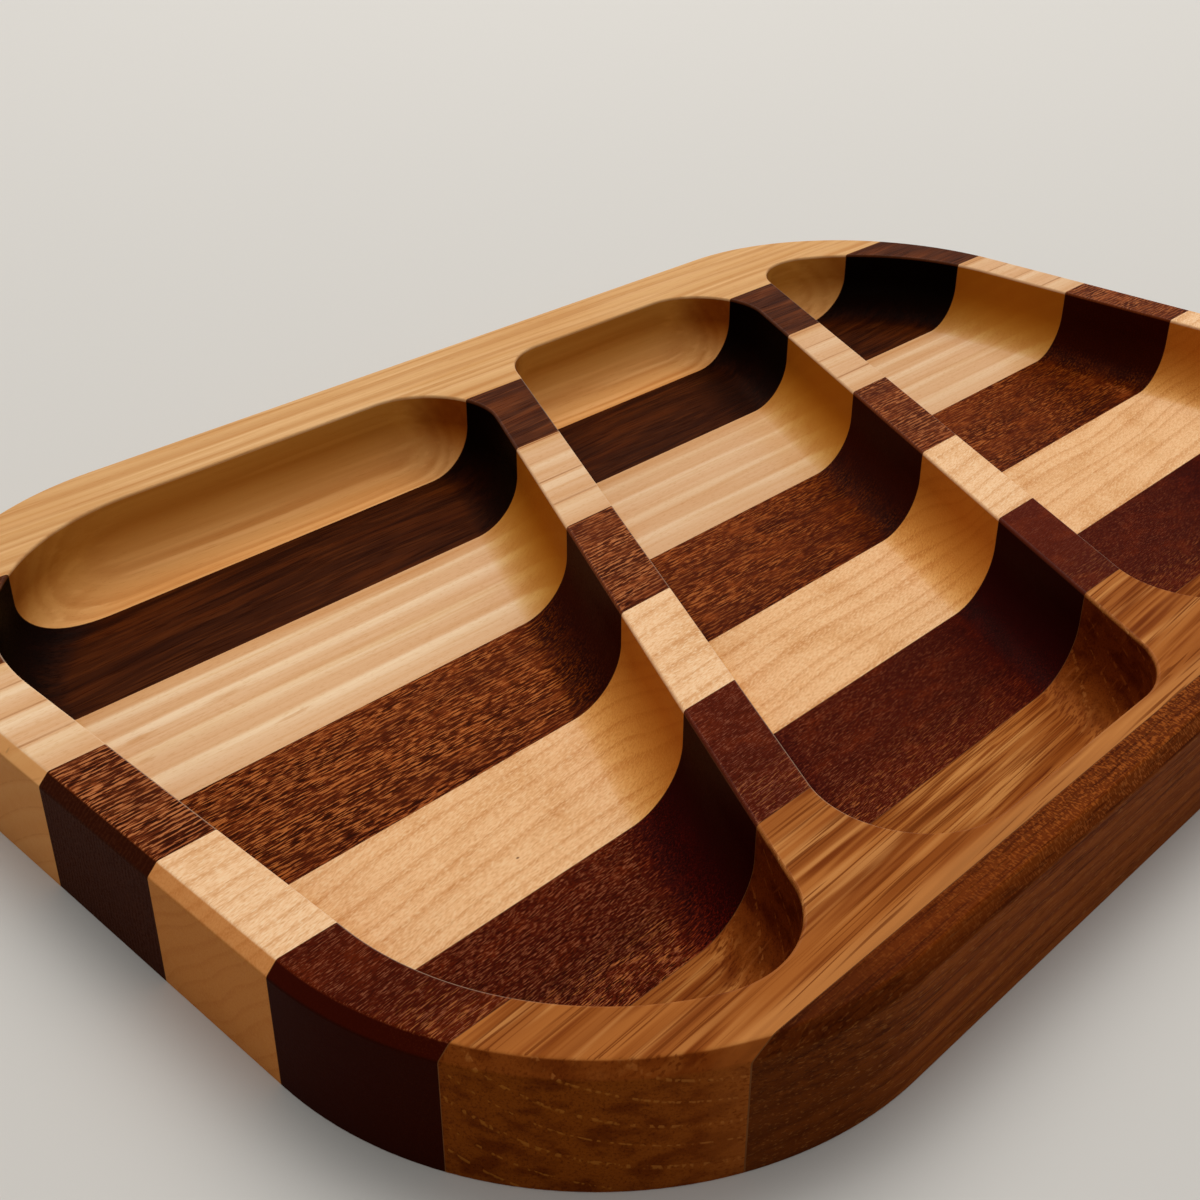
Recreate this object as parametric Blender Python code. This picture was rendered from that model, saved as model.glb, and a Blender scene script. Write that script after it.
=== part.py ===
"""Hardwood tray made of eight glued boards, with three routed pockets.

The boards lie side by side along X, from the thick ash board at the back (+Y) to a thin
edge board at the front (-Y). They are glued edge to edge into one panel. The panel is
sawn to a rounded outline, its top edge is chamfered, and a router with a coved bit sinks
three pockets from the top. The slanted dividers are what the router leaves between them.

Each board is its own object: a plain plank, cut by the outline and by the pockets.
The origin is the middle of the underside. Lengths are in metres.
"""

import math
from collections import namedtuple

import bmesh
import bpy

# Panel
TRAY_LENGTH = 0.281
TRAY_THICKNESS = 0.0195
CORNER_RADIUS = 0.0545
TOP_CHAMFER = 0.0017

# Board widths, from the back edge to the front edge, and the glue film between boards
ASH_WIDTH = 0.0266
WALNUT_WIDTH = 0.0247
POPLAR_WIDTH = 0.0298
SAPELE_WIDTH = 0.0270
MAPLE_WIDTH = 0.0253
MAHOGANY_WIDTH = 0.0242
OAK_WIDTH = 0.0246
EDGE_WIDTH = 0.0061
GLUE_LINE = 0.0001

# Rims between the pockets and the outer faces
END_RIM = 0.0108
FRONT_RIM = 0.0094
BACK_RIM = 0.0151

# Dividers: thickness square to their faces, spacing along the tray, lean from square
DIVIDER_THICKNESS = 0.0103
DIVIDER_SPACING = 0.0838
DIVIDER_SLANT = math.radians(28.2)

# Router bit: its radius, the cove at its bottom corner, and how deep it goes
BIT_RADIUS = 0.0150
BIT_COVE = 0.0095
POCKET_DEPTH = 0.0152

# Small slope that breaks the sharp edge round each pocket's mouth
RIM_EASE = 0.0005

# How far planks and cutters run past what they cut, and the merging distance
OVERRUN = 0.002
MERGE = 0.000001

# Facets
ARC_STEP = math.radians(6)
COVE_STEPS = 8
SHARP_ANGLE = math.radians(30)

QUARTER = math.pi / 2

# The wood of each board: name, width, colour in sRGB shares, roughness
Board = namedtuple("Board", "name width colour roughness")
BOARDS = (
    Board("back_ash_board", ASH_WIDTH, (0.83, 0.64, 0.41), 0.42),
    Board("walnut_board", WALNUT_WIDTH, (0.26, 0.15, 0.11), 0.40),
    Board("poplar_board", POPLAR_WIDTH, (0.89, 0.74, 0.55), 0.45),
    Board("sapele_board", SAPELE_WIDTH, (0.45, 0.22, 0.12), 0.42),
    Board("maple_board", MAPLE_WIDTH, (0.88, 0.70, 0.50), 0.42),
    Board("mahogany_board", MAHOGANY_WIDTH, (0.34, 0.15, 0.09), 0.40),
    Board("oak_board", OAK_WIDTH, (0.71, 0.46, 0.24), 0.44),
    Board("front_edge_board", EDGE_WIDTH, (0.42, 0.21, 0.11), 0.42),
)

# What follows from the sizes
TRAY_WIDTH = sum(board.width for board in BOARDS) + GLUE_LINE * (len(BOARDS) - 1)
FIELD_LEFT = -TRAY_LENGTH / 2 + END_RIM
FIELD_FRONT = -TRAY_WIDTH / 2 + FRONT_RIM
FIELD_BACK = TRAY_WIDTH / 2 - BACK_RIM
FIELD_MIDDLE = (FIELD_FRONT + FIELD_BACK) / 2
POCKET_CORNER = CORNER_RADIUS - END_RIM
POCKET_FLOOR = TRAY_THICKNESS - POCKET_DEPTH

# Part of an outline: an arc about (x, y), turning from start to end
Arc = namedtuple("Arc", "x y radius start end")


def clear_scene():
    for thing in list(bpy.data.objects):
        bpy.data.objects.remove(thing, do_unlink=True)


def add_object(name, mesh, parent):
    thing = bpy.data.objects.new(name, mesh)
    bpy.context.scene.collection.objects.link(thing)
    thing.parent = parent
    return thing


def linear(share):
    """One sRGB colour share as the linear value that the shader takes."""
    return ((share + 0.055) / 1.055) ** 2.4


def wood_material(board):
    material = bpy.data.materials.new(board.name)
    material.use_nodes = True
    shader = material.node_tree.nodes["Principled BSDF"]
    red, green, blue = [linear(share) for share in board.colour]
    shader.inputs["Base Color"].default_value = (red, green, blue, 1)
    shader.inputs["Roughness"].default_value = board.roughness
    shader.inputs["Metallic"].default_value = 0
    return material


# Outlines and lofts

def ring(arcs, reach, height):
    """Closed row of points that runs the reach outside the arcs, with straight runs between."""
    points = []
    for arc in arcs:
        steps = math.ceil((arc.end - arc.start) / ARC_STEP)
        radius = arc.radius + reach
        for step in range(steps + 1):
            angle = arc.start + (arc.end - arc.start) * step / steps
            points.append((arc.x + radius * math.cos(angle), arc.y + radius * math.sin(angle), height))
    return points


def loft(name, rings):
    """Closed solid through rings of equal length, listed from the bottom up."""
    bm = bmesh.new()
    rows = [[bm.verts.new(point) for point in points] for points in rings]
    bm.faces.new(reversed(rows[0]))
    bm.faces.new(rows[-1])
    for low, high in zip(rows, rows[1:]):
        for this, after in zip(range(len(low)), list(range(1, len(low))) + [0]):
            wall = bm.faces.new((low[this], low[after], high[after], high[this]))
            wall.smooth = True
    bmesh.ops.remove_doubles(bm, verts=bm.verts, dist=MERGE)
    mesh = bpy.data.meshes.new(name)
    bm.to_mesh(mesh)
    bm.free()
    mesh.set_sharp_from_angle(angle=SHARP_ANGLE)
    return mesh


# The panel's outline

def outline_mesh():
    """The sawn outline: square sides, and a chamfer round the top."""
    along = TRAY_LENGTH / 2 - CORNER_RADIUS
    across = TRAY_WIDTH / 2 - CORNER_RADIUS
    corners = (
        Arc(along, across, 0, 0, QUARTER),
        Arc(-along, across, 0, QUARTER, 2 * QUARTER),
        Arc(-along, -across, 0, 2 * QUARTER, 3 * QUARTER),
        Arc(along, -across, 0, 3 * QUARTER, 4 * QUARTER),
    )
    return loft("outline", (
        ring(corners, CORNER_RADIUS, 0),
        ring(corners, CORNER_RADIUS, TRAY_THICKNESS - TOP_CHAMFER),
        ring(corners, CORNER_RADIUS - TOP_CHAMFER, TRAY_THICKNESS),
    ))


# The pockets: arcs are the path of the bit's centre, and the bit reaches out from them

def divider_path(middle_x, y):
    """X of the bit's centre as it runs along a divider's left face, at this Y."""
    clear = (DIVIDER_THICKNESS / 2 + BIT_RADIUS) / math.cos(DIVIDER_SLANT)
    return middle_x - clear + math.tan(DIVIDER_SLANT) * (y - FIELD_MIDDLE)


def left_pocket_path():
    """Straight end, two corners about the same centres as the tray's own, slanted divider."""
    divider_x = -DIVIDER_SPACING / 2
    corner_path = POCKET_CORNER - BIT_RADIUS
    corner_x = FIELD_LEFT + POCKET_CORNER
    front_y = FIELD_FRONT + POCKET_CORNER
    back_y = FIELD_BACK - POCKET_CORNER
    # The divider meets the front corner's arc before the arc ends, or else the straight front
    apart = (divider_path(divider_x, front_y) - corner_x) * math.cos(DIVIDER_SLANT)
    turn = -DIVIDER_SLANT - math.acos(min(1, apart / corner_path))
    if turn < -QUARTER:
        meet_x = corner_x + corner_path * math.cos(turn)
        meet_y = front_y + corner_path * math.sin(turn)
    else:
        turn = -QUARTER
        meet_y = FIELD_FRONT + BIT_RADIUS
        meet_x = divider_path(divider_x, meet_y)
    far_y = FIELD_BACK - BIT_RADIUS
    return (
        Arc(corner_x, front_y, corner_path, -2 * QUARTER, turn),
        Arc(meet_x, meet_y, 0, turn, -DIVIDER_SLANT),
        Arc(divider_path(divider_x, far_y), far_y, 0, -DIVIDER_SLANT, QUARTER),
        Arc(corner_x, back_y, corner_path, QUARTER, 2 * QUARTER),
    )


def half_turned(arcs):
    """The same arcs after half a turn about the middle of the pockets."""
    return tuple(
        Arc(-arc.x, 2 * FIELD_MIDDLE - arc.y, arc.radius, arc.start + 2 * QUARTER, arc.end + 2 * QUARTER)
        for arc in arcs
    )


def middle_pocket_path():
    """A parallelogram, the same after half a turn."""
    divider_x = DIVIDER_SPACING / 2
    near_y = FIELD_FRONT + BIT_RADIUS
    far_y = FIELD_BACK - BIT_RADIUS
    right_side = (
        Arc(divider_path(divider_x, near_y), near_y, 0, -QUARTER, -DIVIDER_SLANT),
        Arc(divider_path(divider_x, far_y), far_y, 0, -DIVIDER_SLANT, QUARTER),
    )
    return right_side + half_turned(right_side)


def pocket_mesh(name, path):
    """What the bit sweeps: flat floor, quarter-round cove, square wall, and the eased mouth."""
    rings = []
    for step in range(COVE_STEPS + 1):
        angle = QUARTER * step / COVE_STEPS
        reach = BIT_RADIUS - BIT_COVE * (1 - math.sin(angle))
        height = POCKET_FLOOR + BIT_COVE * (1 - math.cos(angle))
        rings.append(ring(path, reach, height))
    rings.append(ring(path, BIT_RADIUS, TRAY_THICKNESS - RIM_EASE))
    rings.append(ring(path, BIT_RADIUS + RIM_EASE + OVERRUN, TRAY_THICKNESS + OVERRUN))
    return loft(name, rings)


def add_cutters(parent):
    """The outline and the three pockets, as guides that the boards' Booleans read."""
    left_path = left_pocket_path()
    cutters = [
        add_object("outline_guide", outline_mesh(), parent),
        add_object("left_pocket_cutter", pocket_mesh("left_pocket", left_path), parent),
        add_object("middle_pocket_cutter", pocket_mesh("middle_pocket", middle_pocket_path()), parent),
        add_object("right_pocket_cutter", pocket_mesh("right_pocket", half_turned(left_path)), parent),
    ]
    for cutter in cutters:
        cutter.hide_render = True
        cutter.display_type = "WIRE"
    return cutters


# The boards

def plank_mesh(name, length, width, thickness):
    bm = bmesh.new()
    bmesh.ops.create_cube(bm, size=1)
    bmesh.ops.scale(bm, vec=(length, width, thickness), verts=bm.verts)
    mesh = bpy.data.meshes.new(name)
    bm.to_mesh(mesh)
    bm.free()
    return mesh


def add_board(board, back, front, cutters, parent):
    """One plank between two seams, cut to the outline and by each pocket."""
    mesh = plank_mesh(board.name, TRAY_LENGTH + 2 * OVERRUN, back - front, TRAY_THICKNESS + 2 * OVERRUN)
    plank = add_object(board.name, mesh, parent)
    plank.location = (0, (back + front) / 2, TRAY_THICKNESS / 2)
    mesh.materials.append(wood_material(board))
    outline, *pockets = cutters
    for cutter in cutters:
        cut = plank.modifiers.new(cutter.name, "BOOLEAN")
        cut.operation = "INTERSECT" if cutter == outline else "DIFFERENCE"
        cut.solver = "EXACT"
        cut.object = cutter
    return plank


def add_boards(cutters, parent):
    """The boards from back to front; the outer two start oversize and are trimmed."""
    seam = TRAY_WIDTH / 2
    for board in BOARDS:
        back = seam
        front = seam - board.width
        if board is BOARDS[0]:
            back += OVERRUN
        if board is BOARDS[-1]:
            front -= OVERRUN
        add_board(board, back, front, cutters, parent)
        seam -= board.width + GLUE_LINE


def main():
    clear_scene()
    tray = add_object("tray", None, None)
    cutters = add_cutters(tray)
    add_boards(cutters, tray)


main()
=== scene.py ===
# %% [markdown]
# # A hardwood tray with three routed pockets
# The object is a panel of eight boards in contrasting woods, glued edge to edge. It is sawn to
# a rounded outline, its top edge is chamfered, and a coved router bit sinks three pockets.
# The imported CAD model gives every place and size, so it is loaded first as a fixed frame.
# Its box is kept at once, because the dressed tray may not grow past it.

# %% Load the frame
import math
from collections import namedtuple

import bmesh
import bpy
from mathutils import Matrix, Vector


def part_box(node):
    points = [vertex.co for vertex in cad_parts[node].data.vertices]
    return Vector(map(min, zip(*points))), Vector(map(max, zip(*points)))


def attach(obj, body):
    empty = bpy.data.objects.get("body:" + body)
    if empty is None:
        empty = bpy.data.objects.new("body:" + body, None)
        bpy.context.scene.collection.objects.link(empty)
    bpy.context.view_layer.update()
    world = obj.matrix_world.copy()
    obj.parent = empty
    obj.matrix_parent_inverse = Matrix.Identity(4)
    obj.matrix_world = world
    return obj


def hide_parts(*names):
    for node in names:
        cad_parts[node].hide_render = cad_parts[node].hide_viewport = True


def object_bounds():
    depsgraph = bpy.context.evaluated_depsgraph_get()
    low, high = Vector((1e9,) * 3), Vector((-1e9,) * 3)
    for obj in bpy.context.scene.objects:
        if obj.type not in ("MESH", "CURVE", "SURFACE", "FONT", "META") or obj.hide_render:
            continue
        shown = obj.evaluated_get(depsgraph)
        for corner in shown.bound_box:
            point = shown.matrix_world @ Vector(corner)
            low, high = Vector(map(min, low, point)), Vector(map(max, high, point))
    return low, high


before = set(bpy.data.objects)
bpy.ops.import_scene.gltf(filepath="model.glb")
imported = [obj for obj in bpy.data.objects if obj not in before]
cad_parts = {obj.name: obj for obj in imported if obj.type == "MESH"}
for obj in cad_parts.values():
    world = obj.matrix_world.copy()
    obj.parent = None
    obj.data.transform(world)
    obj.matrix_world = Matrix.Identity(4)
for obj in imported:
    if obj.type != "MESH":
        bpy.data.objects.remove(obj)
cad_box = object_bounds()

tray_size = cad_box[1] - cad_box[0]
print("CAD box in mm:", [round(side * 1000, 2) for side in tray_size])

# %% [markdown]
# ## Sizes
# The frame gives the seams between the boards and the outer size. The radii and slopes of the
# cuts can't be read off a box, so they are repeated here from the CAD model, in metres.
# The three softening radii are new: fine sandpaper takes the sharp edge off every real arris,
# and such an edge catches a thin line of light that a perfectly sharp one doesn't.

# %% Sizes of the cuts
TRAY_LENGTH, TRAY_WIDTH, TRAY_THICKNESS = tray_size
CORNER_RADIUS = 0.0545
TOP_CHAMFER = 0.0017
END_RIM = 0.0108
FRONT_RIM = 0.0094
BACK_RIM = 0.0151
DIVIDER_THICKNESS = 0.0103
DIVIDER_SPACING = 0.0838
DIVIDER_SLANT = math.radians(28.2)
BIT_RADIUS = 0.0150
BIT_COVE = 0.0095
POCKET_DEPTH = 0.0152
MOUTH_EASE = 0.0005
CHAMFER_SOFTENING = 0.0008
FOOT_SOFTENING = 0.00025
OVERRUN = 0.002
QUARTER = math.pi / 2

FIELD_LEFT = -TRAY_LENGTH / 2 + END_RIM
FIELD_FRONT = -TRAY_WIDTH / 2 + FRONT_RIM
FIELD_BACK = TRAY_WIDTH / 2 - BACK_RIM
FIELD_MIDDLE = (FIELD_FRONT + FIELD_BACK) / 2
POCKET_CORNER = CORNER_RADIUS - END_RIM
POCKET_FLOOR = TRAY_THICKNESS - POCKET_DEPTH
print("wood left under the pockets in mm:", round(POCKET_FLOOR * 1000, 2))

# %% [markdown]
# ## The paths that the tools follow
# A router cuts a pocket by carrying a round bit along a path, so a corner of the pocket is an
# arc of the bit's own radius or more. The path is kept as arcs, and each point on it also
# stores which way is outward. Everything the bit reaches lies outward from that point, so one
# list describes the floor, the cove, the wall and the mouth. The outline of the panel is
# described in the same way, from the centres of its four corners.

# %% Arcs and points on a path
Arc = namedtuple("Arc", "x y radius start end")
ARC_STEP = math.radians(2)


def placed(name, data):
    """A new object with this data, linked into the scene."""
    made = bpy.data.objects.new(name, data)
    bpy.context.scene.collection.objects.link(made)
    return made


def points_object(name, points, edges, values_by_name):
    """Plain points as an object, with named values stored on each of them."""
    mesh = bpy.data.meshes.new(name)
    mesh.from_pydata(points, edges, [])
    for label, (kind, values) in values_by_name.items():
        key = "vector" if kind == "FLOAT_VECTOR" else "value"
        mesh.attributes.new(label, kind, "POINT").data.foreach_set(key, values)
    return placed(name, mesh)


def path_object(name, arcs):
    """A closed row of points along the arcs, with the outward direction stored on each."""
    points, outward = [], []
    for arc in arcs:
        steps = max(1, math.ceil((arc.end - arc.start) / ARC_STEP))
        for step in range(steps + 1):
            angle = arc.start + (arc.end - arc.start) * step / steps
            facing = (math.cos(angle), math.sin(angle), 0)
            points.append((arc.x + arc.radius * facing[0], arc.y + arc.radius * facing[1], 0))
            outward.extend(facing)
    print(name, "points:", len(points))
    return points_object(name, points, [], {"outward": ("FLOAT_VECTOR", outward)})


# %% [markdown]
# ### The outline and the three pockets
# The outline has four large equal corners. The outer pockets turn round the same centres, so
# the rim keeps its width there, and two slanted dividers part the pockets. The right pocket is
# the left one after half a turn, and the middle pocket maps onto itself, as on the real tray.

# %% The outline and the three pocket paths
def half_turned(arcs):
    """The same arcs after half a turn about the middle of the pockets."""
    return [
        Arc(-arc.x, 2 * FIELD_MIDDLE - arc.y, arc.radius, arc.start + 2 * QUARTER, arc.end + 2 * QUARTER)
        for arc in arcs
    ]


def beside_divider(middle_x, y):
    """X of the bit's centre as it runs along a divider's left face, at this Y."""
    clear = (DIVIDER_THICKNESS / 2 + BIT_RADIUS) / math.cos(DIVIDER_SLANT)
    return middle_x - clear + math.tan(DIVIDER_SLANT) * (y - FIELD_MIDDLE)


along = TRAY_LENGTH / 2 - CORNER_RADIUS
across = TRAY_WIDTH / 2 - CORNER_RADIUS
outline_arcs = [
    Arc(x, y, 0, start * QUARTER, (start + 1) * QUARTER)
    for start, (x, y) in enumerate([(along, across), (-along, across), (-along, -across), (along, -across)])
]

corner_path = POCKET_CORNER - BIT_RADIUS
corner_x = FIELD_LEFT + POCKET_CORNER
front_y = FIELD_FRONT + POCKET_CORNER
near_y = FIELD_FRONT + BIT_RADIUS
far_y = FIELD_BACK - BIT_RADIUS
left_x = -DIVIDER_SPACING / 2
right_x = DIVIDER_SPACING / 2
apart = (beside_divider(left_x, front_y) - corner_x) * math.cos(DIVIDER_SLANT)
turn = -DIVIDER_SLANT - math.acos(apart / corner_path)
meet_x = corner_x + corner_path * math.cos(turn)
meet_y = front_y + corner_path * math.sin(turn)
left_arcs = [
    Arc(corner_x, front_y, corner_path, -2 * QUARTER, turn),
    Arc(meet_x, meet_y, 0, turn, -DIVIDER_SLANT),
    Arc(beside_divider(left_x, far_y), far_y, 0, -DIVIDER_SLANT, QUARTER),
    Arc(corner_x, FIELD_BACK - POCKET_CORNER, corner_path, QUARTER, 2 * QUARTER),
]
middle_side = [
    Arc(beside_divider(right_x, near_y), near_y, 0, -QUARTER, -DIVIDER_SLANT),
    Arc(beside_divider(right_x, far_y), far_y, 0, -DIVIDER_SLANT, QUARTER),
]
outline_path = path_object("outline_path", outline_arcs)
pocket_paths = [
    path_object("left_pocket_path", left_arcs),
    path_object("middle_pocket_path", middle_side + half_turned(middle_side)),
    path_object("right_pocket_path", half_turned(left_arcs)),
]

# %% [markdown]
# ## The profiles
# A profile is half of what the tool looks like from the side: how far it reaches out from the
# path, and at what height. It is drawn with plain corners, and each corner says how much it is
# rounded: the cove is one large rounding, the sanded arrises are small ones. The pocket's
# profile runs on above the tray, so that the cut comes out cleanly at the top.

# %% Profile of the bit and of the outline
Corner = namedtuple("Corner", "reach height rounding steps")


def profile_object(name, corners):
    """A profile as a row of points, each with its rounding stored on it."""
    points = [(corner.reach, 0, corner.height) for corner in corners]
    edges = [(row, row + 1) for row in range(len(corners) - 1)]
    return points_object(name, points, edges, {
        "rounding": ("FLOAT", [corner.rounding for corner in corners]),
        "steps": ("INT", [corner.steps for corner in corners]),
    })


mouth = BIT_RADIUS + MOUTH_EASE
bit_profile = profile_object("bit_profile", [
    Corner(BIT_RADIUS - BIT_COVE - OVERRUN, POCKET_FLOOR, 0, 1),
    Corner(BIT_RADIUS, POCKET_FLOOR, BIT_COVE, 22),
    Corner(BIT_RADIUS, TRAY_THICKNESS, MOUTH_EASE * 0.99, 4),
    Corner(mouth + OVERRUN, TRAY_THICKNESS, 0, 1),
    Corner(mouth + OVERRUN, TRAY_THICKNESS + OVERRUN, 0, 1),
])
outline_profile = profile_object("outline_profile", [
    Corner(CORNER_RADIUS - OVERRUN, 0, 0, 1),
    Corner(CORNER_RADIUS, 0, FOOT_SOFTENING, 3),
    Corner(CORNER_RADIUS, TRAY_THICKNESS - TOP_CHAMFER, CHAMFER_SOFTENING, 4),
    Corner(CORNER_RADIUS - TOP_CHAMFER, TRAY_THICKNESS, CHAMFER_SOFTENING, 4),
    Corner(CORNER_RADIUS - TOP_CHAMFER - OVERRUN, TRAY_THICKNESS, 0, 1),
])
print("profiles:", bit_profile.name, outline_profile.name)

# %% [markdown]
# ## Node trees built in the script
# A Geometry Nodes tree is a recipe that can be read and changed later. A few small helpers keep
# the recipes short. The one used most adds a node and feeds its sockets, each by a plain value
# or by a link from another node.

# %% Helpers for node trees
def feed(tree, socket, value):
    """Puts a value on a socket, or links another node's output to it."""
    if isinstance(value, bpy.types.NodeSocket):
        tree.links.new(value, socket)
    else:
        socket.default_value = value


def add(tree, kind, inputs=None, **settings):
    """A node with its settings made and its sockets fed."""
    made = tree.nodes.new(kind)
    for name, value in settings.items():
        setattr(made, name, value)
    for key, value in (inputs or {}).items():
        feed(tree, made.inputs[key], value)
    return made


def joined(tree, operation, a, b):
    """A sum on two places or directions."""
    return add(tree, "ShaderNodeVectorMath", {0: a, 1: b}, operation=operation).outputs[0]


def scaled(tree, place, factor):
    """A place or direction times one number."""
    return add(tree, "ShaderNodeVectorMath", {0: place, "Scale": factor}, operation="SCALE").outputs[0]


def stored(tree, name, kind):
    """What each point stores under this name."""
    return add(tree, "GeometryNodeInputNamedAttribute", {"Name": name}, data_type=kind).outputs["Attribute"]


def new_recipe(name, inputs):
    """A Geometry Nodes tree with named inputs; returns it with its inputs."""
    tree = bpy.data.node_groups.new(name, "GeometryNodeTree")
    for label, kind in {"Geometry": "Geometry", **inputs}.items():
        tree.interface.new_socket(label, in_out="INPUT", socket_type="NodeSocket" + kind)
    tree.interface.new_socket("Geometry", in_out="OUTPUT", socket_type="NodeSocketGeometry")
    return tree, tree.nodes.new("NodeGroupInput").outputs


def apply_recipe(carrier, tree, values):
    """Runs a tree on an object and gives back the result as a plain mesh."""
    modifier = carrier.modifiers.new(tree.name, "NODES")
    modifier.node_group = tree
    for item in tree.interface.items_tree:
        if item.in_out == "INPUT" and item.name in values:
            modifier[item.identifier] = values[item.name]
    carrier.update_tag()
    bpy.context.view_layer.update()
    graph = bpy.context.evaluated_depsgraph_get()
    mesh = bpy.data.meshes.new_from_object(carrier.evaluated_get(graph), depsgraph=graph)
    carrier.modifiers.remove(modifier)
    return mesh


# %% [markdown]
# ## The sweep
# A sweep joins every point of the path with every corner of the profile: place = point +
# outward x reach, at the profile's height. Blender's Curve to Mesh can sweep too, but it
# pinches where the path turns on the spot, as the bit does in a pocket's tight corner. Here
# a grid has one column for each point of the path and one row for each point of the profile,
# and each of its corners is moved to its place. Two plain faces close the ends.

# %% The sweep as a tree
sweep, given = new_recipe("sweep", {"Profile": "Object", "Merge distance": "Float"})
profile_line = add(sweep, "GeometryNodeObjectInfo", {"Object": given["Profile"]})
profile_curve = add(sweep, "GeometryNodeMeshToCurve", {"Mesh": profile_line.outputs["Geometry"]})
rounded = add(sweep, "GeometryNodeFilletCurve", {
    "Curve": profile_curve.outputs["Curve"],
    "Count": stored(sweep, "steps", "INT"),
    "Radius": stored(sweep, "rounding", "FLOAT"),
}, mode="POLY").outputs["Curve"]
path_count = add(sweep, "GeometryNodeAttributeDomainSize", {"Geometry": given["Geometry"]})
profile_count = add(sweep, "GeometryNodeAttributeDomainSize", {"Geometry": rounded}, component="CURVE")
columns = path_count.outputs["Point Count"]
rows = profile_count.outputs["Point Count"]


def whole(operation, a, b):
    """A sum on whole numbers in the sweep."""
    return add(sweep, "FunctionNodeIntegerMath", {0: a, 1: b}, operation=operation).outputs[0]


def pick(geometry, value, index):
    """The value that one point of a geometry has."""
    found = {"Geometry": geometry, "Index": index}
    sample = add(sweep, "GeometryNodeSampleIndex", found, data_type="FLOAT_VECTOR")
    feed(sweep, sample.inputs["Value"], value)
    return sample.outputs["Value"]


place = add(sweep, "GeometryNodeInputPosition").outputs["Position"]
facing = stored(sweep, "outward", "FLOAT_VECTOR")
number = add(sweep, "GeometryNodeInputIndex").outputs["Index"]


def swept_place(column, row):
    """Where the sweep puts the corner at this column and row."""
    start = pick(given["Geometry"], place, column)
    outward = pick(given["Geometry"], facing, column)
    corner = add(sweep, "ShaderNodeSeparateXYZ", {0: pick(rounded, place, row)}).outputs
    height = add(sweep, "ShaderNodeCombineXYZ", {"Z": corner["Z"]}).outputs[0]
    out = joined(sweep, "ADD", start, scaled(sweep, outward, corner["X"]))
    return joined(sweep, "ADD", out, height)


def moved(geometry, position):
    """The geometry with its points moved to where the sweep puts them."""
    inputs = {"Geometry": geometry, "Position": position}
    return add(sweep, "GeometryNodeSetPosition", inputs).outputs["Geometry"]


grid = add(sweep, "GeometryNodeMeshGrid", {"Vertices X": whole("ADD", columns, 1), "Vertices Y": rows})
column = whole("MODULO", whole("DIVIDE_FLOOR", number, rows), columns)
faces = [moved(grid.outputs["Mesh"], swept_place(column, whole("MODULO", number, rows)))]
for end_row in (0, whole("SUBTRACT", rows, 1)):
    disc = add(sweep, "GeometryNodeMeshCircle", {"Vertices": columns}, fill_type="NGON")
    faces.append(moved(disc.outputs["Mesh"], swept_place(number, end_row)))
join = add(sweep, "GeometryNodeJoinGeometry")
for part in faces:
    sweep.links.new(part, join.inputs["Geometry"])
merged = add(sweep, "GeometryNodeMergeByDistance", {
    "Geometry": join.outputs["Geometry"], "Distance": given["Merge distance"],
})
add(sweep, "NodeGroupOutput", {"Geometry": merged.outputs["Geometry"]})
print("nodes in the sweep:", len(sweep.nodes))

# %% [markdown]
# ### Four sweeps
# The same tree makes four solids: the blank with its bevelled arris, and one for each pocket
# with the round foot that a cove bit leaves. A count of open edges shows that each is closed.

# %% Sweep the outline and the three pockets
MERGE = 0.000002


def swept_cutter(name, path, profile):
    """The closed solid of one sweep, kept as a guide that isn't rendered."""
    mesh = apply_recipe(path, sweep, {"Profile": profile, "Merge distance": MERGE})
    bm = bmesh.new()
    bm.from_mesh(mesh)
    bmesh.ops.recalc_face_normals(bm, faces=bm.faces)
    open_edges = sum(not edge.is_manifold for edge in bm.edges)
    volume = bm.calc_volume(signed=True)
    bm.to_mesh(mesh)
    bm.free()
    mesh.name = name
    cutter = placed(name, mesh)
    cutter.hide_render = True
    print(name, "faces:", len(mesh.polygons), "open edges:", open_edges, "cm3:", round(volume * 1e6, 2))
    return cutter


outline_guide = swept_cutter("outline_guide", outline_path, outline_profile)
pocket_guides = [
    swept_cutter(path.name.replace("path", "guide"), path, bit_profile)
    for path in pocket_paths
]

# %% [markdown]
# ## The panel and the boards
# A maker glues the boards first, then saws the outline and routs the pockets in the whole
# panel. The script keeps that order: the first recipe takes the three pockets away from the
# outline's solid, once. Exact Booleans keep the edges crisp. The bit's faces carry a mark,
# "routed", through all cuts, so that the finish can know them.

# %% Rout the panel
POCKETS = ("Left pocket", "Middle pocket", "Right pocket")
rout, given = new_recipe("rout_panel", {label: "Object" for label in POCKETS})
routed = add(rout, "GeometryNodeMeshBoolean", {
    "Mesh 1": given["Geometry"],
}, operation="DIFFERENCE", solver="EXACT")
for label in POCKETS:
    pocket = add(rout, "GeometryNodeObjectInfo", {"Object": given[label]})
    marked = add(rout, "GeometryNodeStoreNamedAttribute", {
        "Geometry": pocket.outputs["Geometry"], "Name": "routed", "Value": 1.0,
    }, data_type="FLOAT", domain="FACE")
    rout.links.new(marked.outputs["Geometry"], routed.inputs["Mesh 2"])
add(rout, "NodeGroupOutput", {"Geometry": routed.outputs["Mesh"]})
panel_mesh = apply_recipe(outline_guide, rout, dict(zip(POCKETS, pocket_guides)))
panel = placed("routed_panel", panel_mesh)
panel.hide_render = True
cut_faces = sum(mark.value > 0.5 for mark in panel_mesh.attributes["routed"].data)
print("routed panel faces:", len(panel_mesh.polygons), "of them cut by the bit:", cut_faces)

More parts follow.
